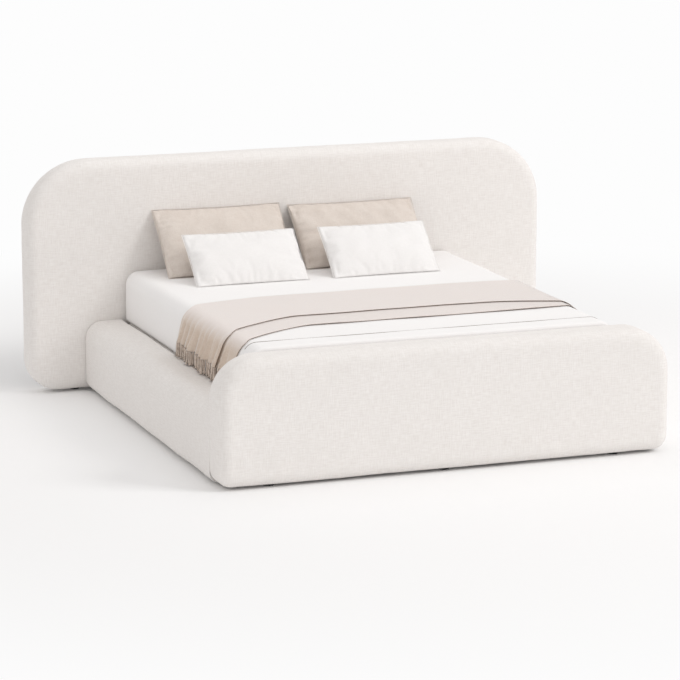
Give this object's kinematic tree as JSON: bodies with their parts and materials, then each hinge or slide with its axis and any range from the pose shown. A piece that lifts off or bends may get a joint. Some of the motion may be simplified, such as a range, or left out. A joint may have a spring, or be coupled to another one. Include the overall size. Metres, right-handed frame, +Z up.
{
  "type": "upholstered box spring bed",
  "caption": "Wide upholstered bed with rounded padded headboard, low footboard and side rails, box spring, mattress, fringed throw and leaning pillows.",
  "frame": {"origin": "on the floor under the middle of the whole bed", "axes": "+X across the bed, +Y from the footboard towards the headboard, +Z up"},
  "size_m": [2.81, 2.35, 1.185],
  "materials": {
    "upholstery_linen": "matt linen-look weave, off-white",
    "greige_pillow_cotton": "matt cotton",
    "white_cushion_cotton": "matt cotton",
    "fibre_fill": "polyester fibre",
    "backing_cloth": "spunbond cloth",
    "white_sheet_cotton": "smooth percale",
    "mattress_ticking": "quilted knit",
    "throw_weave": "soft fine weave",
    "foam": "open cell foam",
    "spring_pockets": "spunbond pockets round steel coils",
    "zinc_plated_steel": "zinc plated",
    "black_plastic": "moulded, matt",
    "plywood": "raw birch plywood",
    "pine_timber": "planed softwood"
  },
  "bodies": {
    "bed_frame": {"beam_hangers": "zinc_plated_steel", "centre_beam": "pine_timber", "centre_leg_glides": "black_plastic", "centre_legs": "pine_timber", "corner_brackets": "zinc_plated_steel", "cross_slat_1": "pine_timber", "cross_slat_2": "pine_timber", "cross_slat_3": "pine_timber", "cross_slat_4": "pine_timber", "cross_slat_5": "pine_timber", "footboard_cover": "upholstery_linen", "footboard_foam": "foam", "footboard_frame": "pine_timber", "footboard_glides": "black_plastic", "footboard_inner_panel": "plywood", "footboard_outer_panel": "plywood", "frame_bolts": "zinc_plated_steel", "headboard_back_cloth": "backing_cloth", "headboard_cover": "upholstery_linen", "headboard_foam": "foam", "headboard_frame": "pine_timber", "headboard_glides": "black_plastic", "headboard_panel": "plywood", "ledge_bolts": "zinc_plated_steel", "left_ledge": "pine_timber", "left_rail_beam": "plywood", "left_rail_cover": "upholstery_linen", "left_rail_foam": "foam", "rail_glides": "black_plastic", "right_ledge": "pine_timber", "right_rail_beam": "plywood", "right_rail_cover": "upholstery_linen", "right_rail_foam": "foam", "slat_screws": "zinc_plated_steel"},
    "box_spring": {"box_base_frame": "pine_timber", "box_corner_guards": "black_plastic", "box_cover": "upholstery_linen", "box_dust_cloth": "backing_cloth", "box_edge_foam": "foam", "box_pad": "foam", "box_springs": "spring_pockets"},
    "mattress": {"fitted_sheet": "white_sheet_cotton", "mattress_base_foam": "foam", "mattress_border_foam": "foam", "mattress_comfort_foam": "foam", "mattress_springs": "spring_pockets", "mattress_ticking": "mattress_ticking"},
    "throw": {"throw": "throw_weave", "throw_fringe_left": "throw_weave", "throw_fringe_right": "throw_weave"},
    "back_pillow_left": {"back_pillow_left_cover": "greige_pillow_cotton", "back_pillow_left_fill": "fibre_fill"},
    "back_pillow_right": {"back_pillow_right_cover": "greige_pillow_cotton", "back_pillow_right_fill": "fibre_fill"},
    "front_cushion_left": {"front_cushion_left_cover": "white_cushion_cotton", "front_cushion_left_fill": "fibre_fill"},
    "front_cushion_right": {"front_cushion_right_cover": "white_cushion_cotton", "front_cushion_right_fill": "fibre_fill"}
  },
  "joints": [
    {"name": "box_spring_lift", "type": "slide", "parent": "bed_frame", "child": "box_spring", "axis": [0, 0, 1], "range_m": [0, 1.1]},
    {"name": "mattress_lift", "type": "slide", "parent": "box_spring", "child": "mattress", "axis": [0, 0, 1], "range_m": [0, 0.9]},
    {"name": "throw_lift", "type": "slide", "parent": "mattress", "child": "throw", "axis": [0, 0, 1], "range_m": [0, 0.8]},
    {"name": "back_pillow_left_lift", "type": "slide", "parent": "mattress", "child": "back_pillow_left", "axis": [0, 0, 1], "range_m": [0, 0.6]},
    {"name": "back_pillow_right_lift", "type": "slide", "parent": "mattress", "child": "back_pillow_right", "axis": [0, 0, 1], "range_m": [0, 0.6]},
    {"name": "front_cushion_left_lift", "type": "slide", "parent": "back_pillow_left", "child": "front_cushion_left", "axis": [0, 0, 1], "range_m": [0, 0.6]},
    {"name": "front_cushion_right_lift", "type": "slide", "parent": "back_pillow_right", "child": "front_cushion_right", "axis": [0, 0, 1], "range_m": [0, 0.6]}
  ]
}
